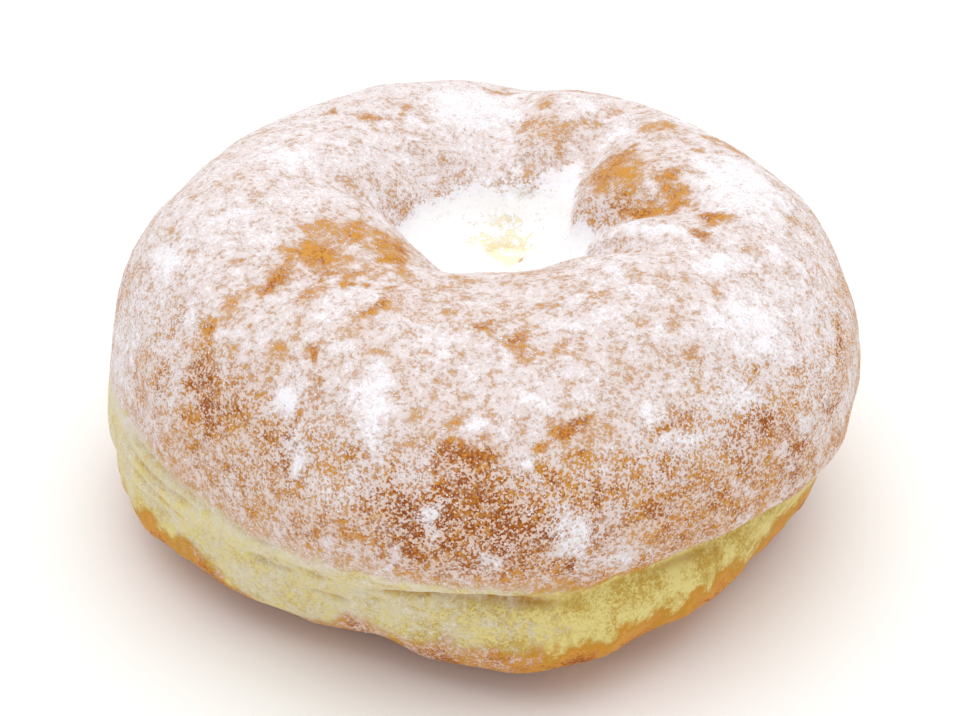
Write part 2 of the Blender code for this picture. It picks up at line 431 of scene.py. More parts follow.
def apply_modifier(target: bpy.types.Object, kind: str, **settings: object) -> None:
    """Adds a modifier to an object, sets it and applies it.

    Args:
        target: The object to shape.
        kind: The modifier's type.
        **settings: Properties of the modifier.
    """
    modifier = target.modifiers.new(kind.lower(), kind)
    for name, value in settings.items():
        setattr(modifier, name, value)
    select_only(target)
    bpy.ops.object.modifier_apply(modifier=modifier.name)


def clouds(name: str, spacing_mm: float, depth: int) -> bpy.types.Texture:
    """Makes a soft cloud texture for relief.

    Args:
        name: The texture's name.
        spacing_mm: How far apart its lumps lie.
        depth: How many finer layers it has.

    Returns:
        The texture.
    """
    made = bpy.data.textures.new(name, "CLOUDS")
    made.noise_scale = spacing_mm * MM
    made.noise_depth = depth
    return made


def direction(azimuth_deg: float, elevation_deg: float) -> Vector:
    """The unit vector of a direction out of the hub."""
    azimuth, elevation = math.radians(azimuth_deg), math.radians(elevation_deg)
    return Vector(
        (
            math.cos(azimuth) * math.cos(elevation),
            math.sin(azimuth) * math.cos(elevation),
            math.sin(elevation),
        )
    )


def smooth_step(values: np.ndarray, low: float, high: float) -> np.ndarray:
    """0 below low, 1 above high, and a smooth slope between them, for each value."""
    share = np.clip((values - low) / (high - low), 0.0, 1.0)
    return share * share * (3.0 - 2.0 * share)


def noise_at(points: np.ndarray, spacing_mm: float) -> np.ndarray:
    """Smooth noise from about -1 to 1 at each point."""
    scale = per_mm(spacing_mm)
    return np.array([noise.noise(Vector(p)) for p in points * scale])


def warp_at(points: np.ndarray, spacing_mm: float, reach_mm: float) -> np.ndarray:
    """The points, each moved by smooth noise, so that what they measure gets ragged edges.

    Args:
        points: Places in metres.
        spacing_mm: How far apart the noise's swells lie.
        reach_mm: About how far a point moves.

    Returns:
        The moved points.
    """
    noise.seed_set(WARP_SEED)
    scale = per_mm(spacing_mm)
    moves = np.array([noise.noise_vector(Vector(p)) for p in points * scale])
    return points + moves * (reach_mm * MM)


class Skin:
    """The dough's skin as arrays of points and normals, with measures taken from the hub."""

    def __init__(self, piece: bpy.types.Object) -> None:
        """Reads the skin's points.

        Args:
            piece: The object whose mesh is the skin.
        """
        mesh = piece.data
        count = len(mesh.vertices)
        places = np.empty(count * 3, np.float32)
        normals = np.empty(count * 3, np.float32)
        mesh.vertices.foreach_get("co", places)
        mesh.vertices.foreach_get("normal", normals)
        self.mesh = mesh
        self.points = places.reshape(-1, 3).astype(float)
        self.normals = normals.reshape(-1, 3).astype(float)
        self.tree = BVHTree.FromPolygons(
            [v.co for v in mesh.vertices], [tuple(p.vertices) for p in mesh.polygons]
        )

    def landing(self, azimuth_deg: float, elevation_deg: float) -> tuple[Vector, Vector]:
        """The place where a direction out of the hub meets the skin, and the normal there."""
        place, normal, _, _ = self.tree.ray_cast(HUB, direction(azimuth_deg, elevation_deg))
        return place, normal

    def coverage(self, patch: Patch, at: np.ndarray) -> np.ndarray:
        """How strongly a patch shows at each place.

        Args:
            patch: The patch.
            at: The places, in metres.

        Returns:
            From 0 to the patch's strength, for each place.
        """
        centre, normal = self.landing(patch.azimuth_deg, patch.elevation_deg)
        level = Vector((-normal.y, normal.x, 0.0)).normalized()
        upward = normal.cross(level)
        turn = math.radians(patch.turn_deg)
        along = level * math.cos(turn) + upward * math.sin(turn)
        across = upward * math.cos(turn) - level * math.sin(turn)
        away = at - np.array(centre)
        share = (
            (away @ np.array(along) / (patch.half_length_mm * MM)) ** 2
            + (away @ np.array(across) / (patch.half_width_mm * MM)) ** 2
            + (away @ np.array(normal) / (PATCH_THICKNESS_MM * MM)) ** 2
        )
        return patch.strength * np.exp(-(share**1.5))

    def covered(self, patches: tuple[Patch, ...], at: np.ndarray) -> np.ndarray:
        """How strongly the strongest of some patches shows at each place.

        Args:
            patches: The patches.
            at: The places, in metres.

        Returns:
            From 0 to a patch's strength, for each place.
        """
        most = np.zeros(len(at))
        for patch in patches:
            most = np.maximum(most, self.coverage(patch, at))
        return most

    def groove_depth(self, groove: Groove) -> np.ndarray:
        """How deep a groove is at each point.

        Args:
            groove: The groove, which bends through its middle.

        Returns:
            A depth in metres for each point.
        """
        ends = [direction(*groove.start), direction(*groove.end)]
        middle = direction(*groove.middle)
        normal = ends[0].cross(ends[1]).normalized()
        towards = normal.cross(ends[0])
        span = ends[0].angle(ends[1])
        bend = math.asin(max(-1.0, min(1.0, middle.dot(normal))))
        outward = self.points - np.array(HUB)
        reach = np.linalg.norm(outward, axis=1)
        unit = outward / reach[:, None]
        along = np.arctan2(unit @ np.array(towards), unit @ np.array(ends[0])) / span
        low, high = -GROOVE_PAST_END, 1.0 + GROOVE_PAST_END
        inside = (along > low) & (along < high)
        fade = smooth_step(along, low, GROOVE_FULL)
        fade = fade * (1.0 - smooth_step(along, 1.0 - GROOVE_FULL, high))
        line = bend * np.sin(np.pi * np.clip(along, 0.0, 1.0))
        away = (np.arcsin(np.clip(unit @ np.array(normal), -1.0, 1.0)) - line) * reach
        depth = np.exp(-((away / (groove.width_mm * MM)) ** 2)) * fade * groove.depth_mm * MM
        return np.where(inside, depth, 0.0)

    def put_back(self) -> None:
        """Writes the points back to the mesh."""
        self.mesh.vertices.foreach_set("co", self.points.astype(np.float32).ravel())
        self.mesh.update()

    def store(self, name: Field, values: np.ndarray) -> None:
        """Keeps a measure on the mesh's points, for the material to read."""
        attribute = self.mesh.attributes.new(name.value, "FLOAT", "POINT")
        attribute.data.foreach_set("value", values.astype(np.float32))


class Shade(Enum):
    """The dough's colours, from its crust to the sugar on it."""

    CRUST_LIGHT = "#D4963F"
    CRUST_MID = "#AE6216"
    CRUST_DARK = "#8B430D"
    GOLDEN = "#C48A1F"
    PALE_LIGHT = "#DFD086"
    PALE_DARK = "#BE9A3C"
    # Painted shade: the dark golden of the shadow down in the band's wrinkles.
    CREASE = "#BC8E3B"
    CREAM = "#FAF1CA"
    HAZE = "#D6B59E"
    PALE_HAZE = "#E2D9C2"
    PALE_GRAIN = "#E6DCC0"
    SUGAR_GRAIN = "#E1C4B1"
    SUGAR_THIN = "#E5D7D4"
    SUGAR_THICK = "#F7F4F9"
    # Partly painted light: pure white for the sugar heaped in the dimple, both its thickness and a
    # lift that undoes the dimple's shade.
    SUGAR_HEAP = "#FFFFFF"


@dataclass(frozen=True)
class Layer:
    """One colour over another, wherever a weighted sum of patterns is high.

    A colour is a shade, or the name of a layer before this one. The sum takes noise and
    granules from their middle, so they push it up as much as down.
    """

    name: str
    under: Shade | str
    over: Shade | str
    weights: tuple[tuple[Pattern | Field, float], ...]
    bias: float
    start: float
    full: float
    most: float = 1.0


@dataclass(frozen=True)
class Grit:
    """A noise on the dough: its lumps' spacing, how many finer layers it has and their share."""

    period_mm: float
    detail: float
    roughness: float


@dataclass(frozen=True)
class FriedDough:
    """Yeast dough, fried in oil and dusted: brown outside, pale where it floated.

    The eye reads three layers: a satin orange-brown crust, a thin haze of sugar that turns it
    tan, and white sugar lying on that in clumps and single grains. Each pair for relief is how
    strong it is and how deep, in metres.
    """

    tone: Grit = Grit(4.5, 3.0, 0.55)
    clump: Grit = Grit(2.0, 4.0, 0.6)
    grain: Grit = Grit(0.6, 2.5, 0.7)
    # Coarser than powdered sugar is: what the eye picks out are its clumped grains.
    granule_mm: float = 0.23
    strewn_least: float = 0.15
    strewn_gain: float = 1.15
    roughness_glossy: float = 0.4
    roughness_crust: float = 0.62
    roughness_sugar: float = 0.95
    pits: Pair = (0.5, 0.16 * MM)
    sugar_steps: Pair = (0.7, 0.14 * MM)
    refraction: float = 1.45
    specular: float = 0.25
    scatter: float = 0.12
    scatter_radius: tuple[float, float, float] = (1.0, 0.6, 0.35)
    scatter_mm: float = 1.2

    def material(self) -> bpy.types.Material:
        """Builds the material.

        Returns:
            The material, which reads the skin's measures and Object coordinates.
        """
        material, add, shader = new_material("fried_yeast_dough_dusted")
        patterns = self.patterns(add)
        colours: dict[Shade | str, object] = {shade: linear(shade.value) for shade in Shade}
        for layer in DOUGH_LAYERS:
            cover = self.share_of(add, patterns, layer)
            values = {0: cover, 6: colours[layer.under], 7: colours[layer.over]}
            colour = add("ShaderNodeMix", {"data_type": "RGBA"}, values)[2]
            colours[layer.name] = colour

        rough: object = self.roughness_crust
        for values in (
            {0: patterns[Field.SHEEN], 3: self.roughness_glossy},
            {0: cover, 3: self.roughness_sugar},
        ):
            rough = add("ShaderNodeMix", {"data_type": "FLOAT"}, {2: rough} | values)[0]
        strength, depth = self.pits
        values = {"Strength": strength, "Distance": depth, "Height": patterns[Pattern.GRAIN]}
        pitted = add("ShaderNodeBump", {}, values)[0]
        strength, depth = self.sugar_steps
        values = {"Strength": strength, "Distance": depth, "Height": cover, "Normal": pitted}
        set_inputs(
            shader,
            {
                "Base Color": colour,
                "Roughness": rough,
                "Normal": add("ShaderNodeBump", {}, values)[0],
                "IOR": self.refraction,
                "Specular IOR Level": self.specular,
                "Subsurface Weight": self.scatter,
                "Subsurface Radius": self.scatter_radius,
                "Subsurface Scale": self.scatter_mm * MM,
            },
        )
        return material

    def patterns(self, add: Adder) -> dict[Pattern | Field, bpy.types.NodeSocket]:
        """Adds the patterns that the layers are drawn with.

        Args:
            add: Adds a node to the material.

        Returns:
            An output for each measure of the skin and each pattern.
        """
        place = add("ShaderNodeTexCoord")["Object"]
        made: dict[Pattern | Field, bpy.types.NodeSocket] = {
            f: add("ShaderNodeAttribute", {"attribute_name": f.value})["Fac"] for f in Field
        }
        for pattern, grit in (
            (Pattern.TONE, self.tone),
            (Pattern.CLUMP, self.clump),
            (Pattern.GRAIN, self.grain),
        ):
            values = {"Scale": per_mm(grit.period_mm), "Detail": grit.detail}
            values |= {"Vector": place, "Roughness": grit.roughness}
            made[pattern] = add("ShaderNodeTexNoise", {}, values)["Fac"]
        values = {"Vector": place, "Scale": per_mm(self.granule_mm)}
        cells = add("ShaderNodeTexVoronoi", {}, values)["Color"]
        granules = add("ShaderNodeSeparateColor", {}, {"Color": cells})
        made[Pattern.SHADE] = granules["Green"]
        landed = add("ShaderNodeMath", {"operation": "SUBTRACT"}, {0: granules["Red"], 1: 0.5})[0]
        fused = {"operation": "MULTIPLY_ADD"}
        values = {0: made[Field.SPECKLE], 1: self.strewn_gain, 2: self.strewn_least}
        room = add("ShaderNodeMath", fused, values)[0]
        made[Pattern.STREWN] = add("ShaderNodeMath", fused, {0: landed, 1: room, 2: 0.5})[0]
        return made

    def share_of(
        self, add: Adder, patterns: dict[Pattern | Field, bpy.types.NodeSocket], layer: Layer
    ) -> bpy.types.NodeSocket:
        """Works out how much of a layer shows.

        Args:
            add: Adds a node to the material.
            patterns: An output for each measure and pattern.
            layer: The layer.

        Returns:
            An output from 0, where it doesn't show, to its most.
        """
        total: object = layer.bias - 0.5 * sum(
            factor for source, factor in layer.weights if isinstance(source, Pattern)
        )
        for source, factor in layer.weights:
            values = {0: patterns[source], 1: factor, 2: total}
            total = add("ShaderNodeMath", {"operation": "MULTIPLY_ADD"}, values)[0]
        values = {"Value": total, "From Min": layer.start, "From Max": layer.full}
        values["To Max"] = layer.most
        return add("ShaderNodeMapRange", {"interpolation_type": "SMOOTHSTEP"}, values)["Result"]


# What the crust's edge follows: its browning, frayed by clumps and grain.
FRAYED_EDGE = ((Field.BROWNING, 1.0), (Pattern.CLUMP, 1.2), (Pattern.GRAIN, 0.8))
CREAMY = ((Field.CREAM, 1.0),)

DOUGH_LAYERS = (
    # The crust's darker browns follow the browning measure, painted side shade included.
    Layer(
        "browned", Shade.CRUST_LIGHT, Shade.CRUST_MID,
        ((Field.BROWNING, 1.0), (Pattern.TONE, 1.4), (Pattern.GRAIN, 1.6), (Pattern.SHADE, 0.5)),
        -0.66, 0.2, 0.8,
    ),
    Layer(
        "baked", "browned", Shade.CRUST_DARK,
        ((Field.BROWNING, 1.0), (Pattern.TONE, 0.8), (Pattern.GRAIN, 1.2), (Pattern.SHADE, 0.5)),
        -1.0, 0.15, 0.85,
    ),
    Layer(
        "pale", Shade.PALE_LIGHT, Shade.PALE_DARK,
        ((Pattern.TONE, 1.3), (Pattern.CLUMP, 1.0), (Pattern.GRAIN, 0.6), (Pattern.STREWN, 0.9)),
        0.55, 0.3, 0.9,
    ),
    Layer("creamy", "pale", Shade.CREAM, CREAMY, 0.0, 0.0, 1.0),
    # Painted shade: wrinkles are darkened toward that golden, the deeper the more.
    Layer("crease_shaded", "creamy", Shade.CREASE, ((Field.CREASE, 1.0),), 0.0, 0.0, 1.0),
    Layer("toasted", "crease_shaded", Shade.GOLDEN, FRAYED_EDGE, 0.0, 0.15, 0.65),
    Layer("dough", "toasted", "baked", FRAYED_EDGE, 0.0, 0.55, 0.95),
    Layer("haze", Shade.PALE_HAZE, Shade.HAZE, FRAYED_EDGE, 0.0, 0.3, 0.8),
    Layer("film", "haze", Shade.CREAM, CREAMY, 0.0, 0.2, 0.8),
    Layer(
        "veiled", "dough", "film",
        (
            (Field.DUSTING, 1.0), (Pattern.CLUMP, 1.1), (Pattern.GRAIN, 0.8),
            (Field.SPECKLE, -0.26), (Field.BROWNING, -0.25), (Field.CREAM, -0.3),
        ),
        0.31, 0.2, 0.75, 0.88,
    ),
    Layer("grains", Shade.PALE_GRAIN, Shade.SUGAR_GRAIN, FRAYED_EDGE, 0.0, 0.3, 0.8),
    Layer(
        "sprinkled", "grains", Shade.SUGAR_THIN,
        ((Field.DUSTING, 1.0), (Pattern.CLUMP, 0.6), (Field.CREAM, 0.5)),
        0.0, 0.42, 0.72,
    ),
    # Partly painted light: the dimple's sugar is whitened beyond the thick sugar elsewhere.
    Layer("caked", Shade.SUGAR_THICK, Shade.SUGAR_HEAP, CREAMY, 0.0, 0.3, 0.9),
    Layer(
        "sugar", "sprinkled", "caked",
        (
            (Field.DUSTING, 1.0), (Pattern.CLUMP, 0.9), (Pattern.GRAIN, 0.5),
            (Pattern.SHADE, 0.3), (Field.CREAM, 0.8),
        ),
        0.0, 0.7, 1.08,
    ),
    Layer(
        "dusted", "veiled", "sugar",
        (
            (Field.DUSTING, 1.0), (Pattern.CLUMP, 1.3), (Pattern.GRAIN, 1.5),
            (Pattern.STREWN, 1.0), (Field.CREASE, -0.35),
        ),
        0.0, 0.28, 0.72,
    ),
)


@dataclass(frozen=True)
class PowderedSugar:
    """Milled sugar, sieved: a matt, slightly cool white that lights up from inside."""

    light: str = "#FFFEFF"
    shade: str = "#F9F7FA"
    fleck_period_mm: float = 0.5
    fleck_detail: float = 2.0
    fleck_strength: float = 0.6
    fleck_depth_mm: float = 0.1
    roughness: float = 0.95
    refraction: float = 1.5
    scatter: float = 0.2
    scatter_radius: tuple[float, float, float] = (1.0, 0.95, 0.9)
    scatter_mm: float = 0.6

    def material(self) -> bpy.types.Material:
        """Builds the material.

        Returns:
            The material, which reads Object coordinates.
        """
        material, add, shader = new_material("powdered_sugar_sieved")
        place = add("ShaderNodeTexCoord")["Object"]
        values = {"Scale": per_mm(self.fleck_period_mm), "Detail": self.fleck_detail}
        fleck = add("ShaderNodeTexNoise", {}, {"Vector": place} | values)["Fac"]
        values = {0: fleck, 6: linear(self.shade), 7: linear(self.light)}
        colour = add("ShaderNodeMix", {"data_type": "RGBA"}, values)[2]
        values = {"Strength": self.fleck_strength, "Distance": self.fleck_depth_mm * MM}
        relief = add("ShaderNodeBump", {}, {"Height": fleck} | values)[0]
        set_inputs(
            shader,
            {
                "Base Color": colour,
                "Normal": relief,
                "Roughness": self.roughness,
                "IOR": self.refraction,
                "Subsurface Weight": self.scatter,
                "Subsurface Radius": self.scatter_radius,
                "Subsurface Scale": self.scatter_mm * MM,
            },
        )
        return material


@dataclass
class Coating:
    """Where the skin is sugared, browned, glossy and creamy, point by point.

    Sugar runs from 0, none, to about 1, a white heap, and heights are in mm. Each pair of limits
    is where something starts and where it is full.
    """

    skin: Skin
    fray_mm: tuple[Pair, ...] = ((3.4, 1.9), (1.5, 0.8))
    swells_mm: tuple[float, float, float] = (9.0, 4.0, 1.6)
    edge_sway_mm: Pair = (0.5, 0.9)
    crust_edge: Pair = (-1.8, 2.6)
    base_edge: Pair = (-3.2, 1.6)
    dimple_rim: Pair = (15.0, 18.0)
    dimple_lowest: float = 20.0
    dimple_top: Pair = (31.0, 34.6)
    dimple_sway: Pair = (1.2, 0.8)
    near_wall: Pair = (2.0, 7.0)
    near_wall_top: Pair = (31.0, 38.0)
    near_wall_sway: Pair = (1.6, 1.2)
    hem: Pair = (1.5, 3.5)
    level: Pair = (-0.15, 0.75)
    sugar: float = 0.45
    sugar_level: float = 0.20
    sugar_hem: float = 0.08
    sugar_swells: Pair = (0.06, 0.08)
    sugar_bare: float = 0.34
    sugar_bare_level: float = 0.13
    sugar_thick: float = 1.04
    sugar_drifted: float = 1.3
    sugar_limits: Pair = (-0.4, 1.25)
    film_band: float = 0.7
    film_base: float = 0.8
    film_base_from: Pair = (0.5, 5.0)
    film_swell: float = 0.12
    film_less: float = 0.32
    side: Pair = (0.35, 0.95)
    deep_bare: float = 0.15
    # Painted shade: extra browning where the crust faces sideways, on bare patches and elsewhere.
    bare_side_shade: float = 0.43
    side_shade: float = 0.15
    deep_swell: float = 0.1
    base_low: Pair = (-6.0, -1.0)
    deep_base: float = 0.15
    deep_base_low: float = 0.35
    deep_base_swell: Pair = (0.9, 0.6)
    most_browned: float = 1.1
    gloss_level: Pair = (0.45, 0.8)
    gloss: Pair = (1.2, 0.2)
    speckle_level: Pair = (0.4, 0.92)
    speckle_top: float = 0.1
    speckle_steep: Pair = (0.1, 0.5)
    speckle_steepest: float = 0.6
    speckle_hem_less: float = 0.4
    speckle_film: Pair = (0.7, 3.0)
    speckle_least: float = 0.25
    speckle_dimple_less: float = 0.9

    def __post_init__(self) -> None:
        """Reads the points, and works out the noises, the edges and the dimple."""
        points = self.skin.points
        self.ragged = points
        for spacing, reach in self.fray_mm:
            self.ragged = warp_at(self.ragged, spacing, reach)
        self.azimuth = np.degrees(np.arctan2(points[:, 1], points[:, 0]))
        self.height = points[:, 2] / MM
        self.up = self.skin.normals[:, 2]
        self.broad, self.medium, self.fine = (noise_at(points, s) for s in self.swells_mm)
        above = self.height - self.swayed(around(self.azimuth, BAND_TOP), self.edge_sway_mm)
        self.over = smooth_step(above / around(self.azimuth, EDGE_SOFTNESS), *self.crust_edge)
        self.rim = bump(above, *self.hem)
        self.above_foot = self.height - self.swayed(
            around(self.azimuth, BAND_FOOT), self.edge_sway_mm
        )
        self.under = 1.0 - smooth_step(self.above_foot, *self.base_edge)
        away = np.hypot(points[:, 0] - DIMPLE_CENTRE.x, points[:, 1] - DIMPLE_CENTRE.y) / MM
        within = (1.0 - smooth_step(away, *self.dimple_rim)) * (self.height > self.dimple_lowest)
        self.in_dimple = within * (
            1.0 - smooth_step(self.swayed(self.height, self.dimple_sway), *self.dimple_top)
        )
        near_wall = smooth_step((DIMPLE_CENTRE.y - points[:, 1]) / MM, *self.near_wall) * within
        near_wall *= 1.0 - smooth_step(
            self.swayed(self.height, self.near_wall_sway), *self.near_wall_top
        )
        self.drifted = np.maximum(self.in_dimple, near_wall)
        self.cream = self.skin.covered(CREAM_PATCHES, self.ragged)
        bare = self.skin.covered(BARE_PATCHES + drawn(BARE_CLUSTERS), self.ragged)
        self.bare = np.clip(bare, 0.0, 1.0)

    def swayed(self, values: np.ndarray, sway_mm: Pair) -> np.ndarray:
        """Values in mm that sway with the medium and the fine noise."""
        return values + sway_mm[0] * self.medium + sway_mm[1] * self.fine

    def film(self) -> np.ndarray:
        """How thickly the band and the base are filmed with sugar.

        Returns:
            An amount of sugar for each point.
        """
        band = (self.film_band + self.over * (1.0 - self.over)) * around(self.azimuth, BAND_FILM)
        base = self.film_base * around(self.azimuth, BASE_FILM) * self.under
        film = band * (1.0 - self.under) + base * smooth_step(self.height, *self.film_base_from)
        return film + (self.film_swell * self.medium - self.film_less)

    def dusting(self) -> np.ndarray:
        """How thickly the skin is dusted with sugar.

        Returns:
            An amount of sugar for each point, below 0 where none may show.
        """
        level = smooth_step(self.up, *self.level)
        swell, ripple = self.sugar_swells
        settled = self.sugar + self.sugar_level * level + self.sugar_hem * self.rim
        settled = settled + swell * self.broad + ripple * self.medium
        settled += around(self.azimuth, SETTLED)
        settled = settled * self.over + (1.0 - self.over) * self.film()
        shed = self.sugar_bare - self.sugar_bare_level * level
        dusting = settled + self.bare * (shed - settled)
        heaped = self.skin.covered(SUGAR_PATCHES + drawn(SUGAR_CLUSTERS), self.ragged)
        dusting += np.clip(heaped, 0.0, 1.0) * np.clip(self.sugar_thick - dusting, 0.0, 1.0)
        dusting = dusting * (1.0 - self.drifted) + self.drifted * self.sugar_drifted
        return np.clip(dusting - self.sugar_drifted * self.cream, *self.sugar_limits)

    def browning(self) -> np.ndarray:
        """How far the dough is browned, with painted shade added where the crust faces sideways.

        Returns:
            For each point 0 where it is pale, 1 on the crust and more where it is dark.
        """
        # Part painted shade: crust that faces sideways is browned deeper, standing for the shade it
        # lies in under the overhead lamp; the bare patches' and the base's deeper browning is the
        # crust's own.
        side = 1.0 - smooth_step(self.up, *self.side)
        deep_brown_and_shade = self.bare * (self.deep_bare + self.bare_side_shade * side)
        deep_brown_and_shade = deep_brown_and_shade + self.side_shade * side + self.deep_swell * self.broad
        deep_brown_and_shade = np.clip(deep_brown_and_shade, 0.0, 1.0) * self.over
        low = 1.0 - smooth_step(self.above_foot, *self.base_low)
        swell, swell_less = self.deep_base_swell
        base = self.deep_base + self.deep_base_low * low + (swell - swell_less * low) * self.medium
        deep_brown_and_shade += np.clip(base, 0.0, 1.0) * self.under
        crust = np.maximum(self.over, around(self.azimuth, BASE_BROWNING) * self.under)
        browning = np.clip(crust - self.in_dimple - self.cream, 0.0, self.most_browned) + deep_brown_and_shade
        return browning + self.skin.coverage(SCORCHED_FLECK, self.ragged)

    def speckle(self) -> np.ndarray:
        """How strongly single grains stand out.

        Returns:
            From 0 to about 1 for each point: most on steep crust, least on top and in the dimple.
        """
        top, steepest = self.speckle_top, self.speckle_steepest
        speckle = top + (1.0 - top) * (1.0 - smooth_step(self.up, *self.speckle_level))
        speckle *= steepest + (1.0 - steepest) * smooth_step(self.up, *self.speckle_steep)
        speckle *= around(self.azimuth, SPECKLING)
        most, gain = self.speckle_film
        filmed = most * np.clip(gain * self.film(), 0.0, 1.0)
        strewn = np.maximum(self.over * (1.0 - self.speckle_hem_less * self.rim), filmed)
        speckle *= self.speckle_least + (1.0 - self.speckle_least) * strewn
        return speckle * (1.0 - self.speckle_dimple_less * self.in_dimple)

    def store(self, creases: np.ndarray) -> np.ndarray:
        """Keeps the measures on the skin.

        Args:
            creases: How deep in a wrinkle each point lies, from 0 to about 1.

        Returns:
            How thickly each point is dusted.
        """
        dusting = self.dusting()
        glossy = self.over * smooth_step(self.up, *self.gloss_level)
        self.skin.store(Field.DUSTING, dusting)
        self.skin.store(Field.BROWNING, self.browning())
        gain, less = self.gloss
        self.skin.store(Field.SHEEN, np.clip(self.bare * gain - less, 0.0, 1.0) * glossy)
        self.skin.store(Field.CREAM, np.maximum(self.in_dimple, self.cream))
        self.skin.store(Field.SPECKLE, self.speckle())
        self.skin.store(Field.CREASE, creases)
        return dusting


@dataclass
class DoughSkin:
    """The whole skin: domed top, dimple, pale band and underside, in one closed mesh."""

    name: str = "fried_skin"
    weld: float = 1e-6
    quad_limits_deg: Pair = (50.0, 70.0)
    smoothing_levels: int = 2
    swell_mm: float = 0.35
    swell_spacing_mm: float = 5.0
    pucker_mm: float = 0.16
    pucker_spacing_mm: float = 1.7
    hem_mm: float = 0.7
    hem_spacing_mm: float = 4.2
    cake_mm: float = 0.22
    cake_spacing_mm: float = 0.9
    cake_middle: float = 0.25
    cake_from: float = 0.55
    cake_gain: float = 2.2
    flat_foot_mm: Pair = (0.2, 1.2)
    hem_from_mm: Pair = (1.0, 4.0)
    hem_to_mm: Pair = (9.0, 13.0)
    crease_full_mm: float = 0.6
    weight_steps: int = 50
    wrinkles: int = 26
    wrinkle_seed: int = 7
    finish: FriedDough = field(default_factory=FriedDough)
    piece: bpy.types.Object | None = None
    creases: np.ndarray | None = None

    def build(self, node: bpy.types.Object) -> bpy.types.Object:
        """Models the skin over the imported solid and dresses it.

        Args:
            node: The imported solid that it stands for.

        Returns:
            The finished piece.
        """
        low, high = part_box(CAD_NODE)
        self.copy_solid(node)
        low_mm, high_mm = self.flat_foot_mm
        heights = np.array([v.co.z for v in self.piece.data.vertices])
        self.weigh("free", smooth_step(heights, low_mm * MM, high_mm * MM))
        self.raise_relief("free", "dough_swell", self.swell_mm, self.swell_spacing_mm, 1)
        self.raise_relief("free", "dough_pucker", self.pucker_mm, self.pucker_spacing_mm, 2)
        skin = Skin(self.piece)
        self.weigh("hem", self.hem_share(skin))
        self.raise_relief("hem", "dough_hem", self.hem_mm, self.hem_spacing_mm, 2)
        self.cut_grooves()
        self.fit_inside(low, high)
        skin = Skin(self.piece)
        dusting = Coating(skin).store(self.creases)
        self.weigh("caked", np.clip((dusting - self.cake_from) * self.cake_gain, 0.0, 1.0))
        self.raise_relief(
            "caked", "sugar_cake", self.cake_mm, self.cake_spacing_mm, 2, self.cake_middle
        )
        self.fit_inside(low, high)
        for face in self.piece.data.polygons:
            face.use_smooth = True
        self.piece.vertex_groups.clear()
        self.piece.data.materials.clear()
        self.piece.data.materials.append(self.finish.material())
        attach(self.piece, BODY)
        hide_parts(CAD_NODE)
        return self.piece

    def copy_solid(self, node: bpy.types.Object) -> None:
        """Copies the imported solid's mesh, closes it into quads and rounds off its facets.

        Args:
            node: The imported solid.
        """
        self.piece = bpy.data.objects.new(self.name, node.data.copy())
        bpy.context.scene.collection.objects.link(self.piece)
        select_only(self.piece)
        bpy.ops.object.mode_set(mode="EDIT")
        bpy.ops.mesh.select_all(action="SELECT")
        bpy.ops.mesh.remove_doubles(threshold=self.weld)
        fold, skew = (math.radians(angle) for angle in self.quad_limits_deg)
        bpy.ops.mesh.tris_convert_to_quads(face_threshold=fold, shape_threshold=skew)
        bpy.ops.object.mode_set(mode="OBJECT")
        apply_modifier(
            self.piece, "SUBSURF", levels=self.smoothing_levels, render_levels=self.smoothing_levels
        )

    def weigh(self, group: str, weights: np.ndarray) -> None:
        """Puts the points into a vertex group, each with its weight.

        Args:
            group: The group's name.
            weights: One weight a point, from 0 to 1.
        """
        made = self.piece.vertex_groups.new(name=group)
        steps = np.round(np.clip(weights, 0.0, 1.0) * self.weight_steps).astype(int)
        for step in np.unique(steps):
            if step:
                members = np.nonzero(steps == step)[0].tolist()
                made.add(members, step / self.weight_steps, "REPLACE")

    def raise_relief(
        self,
        group: str,
        name: str,
        height_mm: float,
        spacing_mm: float,
        depth: int,
        middle: float = 0.5,
    ) -> None:
        """Displaces the skin by a cloud texture.

        Args:
            group: The vertex group that it acts on.
            name: The texture's name.
            height_mm: From the lowest to the highest point of the relief.
            spacing_mm: How far apart its lumps lie.
            depth: How many finer layers the lumps have.
            middle: The texture's value that leaves a point where it is.
        """
        apply_modifier(
            self.piece,
            "DISPLACE",
            texture=clouds(name, spacing_mm, depth),
            texture_coords="LOCAL",
            direction="NORMAL",
            vertex_group=group,
            strength=height_mm * MM,
            mid_level=middle,
        )

    def hem_share(self, skin: Skin) -> np.ndarray:
        """Where the lower crust's edge is ragged: below the band and above the foot."""
        height = skin.points[:, 2] / MM
        return smooth_step(height, *self.hem_from_mm) * (
            1.0 - smooth_step(height, *self.hem_to_mm)
        )

    def cut_grooves(self) -> None:
        """Presses the thin wrinkles of the band and the dimple into the skin."""
        skin = Skin(self.piece)
        depth = np.zeros(len(skin.points))
        self.creases = np.zeros(len(skin.points))
        for groove in GROOVES + band_wrinkles(self.wrinkles, self.wrinkle_seed):
            pressed = skin.groove_depth(groove)
            depth += pressed
            self.creases = np.maximum(self.creases, pressed / (self.crease_full_mm * MM))
        skin.points -= skin.normals * depth[:, None]
        skin.put_back()

    def fit_inside(self, low: Vector, high: Vector) -> None:
        """Keeps the skin inside the solid's box and its foot on the table.

        Args:
            low: The lowest corner of the box.
            high: The highest corner of the box.
        """
        skin = Skin(self.piece)
        margin = GRAIN_ROOM_MM * MM
        least, most = skin.points.min(0), skin.points.max(0)
        for axis in (0, 1):
            room = (high[axis] - margin) - (low[axis] + margin)
            share = min(1.0, room / (most[axis] - least[axis]))
            middle = 0.5 * (most[axis] + least[axis])
            target = min(max(middle, low[axis] + margin + 0.5 * room), high[axis])
            skin.points[:, axis] = (skin.points[:, axis] - middle) * share + target
        skin.points[:, 2] = np.maximum(skin.points[:, 2], 0.0)
        skin.points[:, 2] *= min(1.0, (high[2] - margin) / skin.points[:, 2].max())
        skin.put_back()


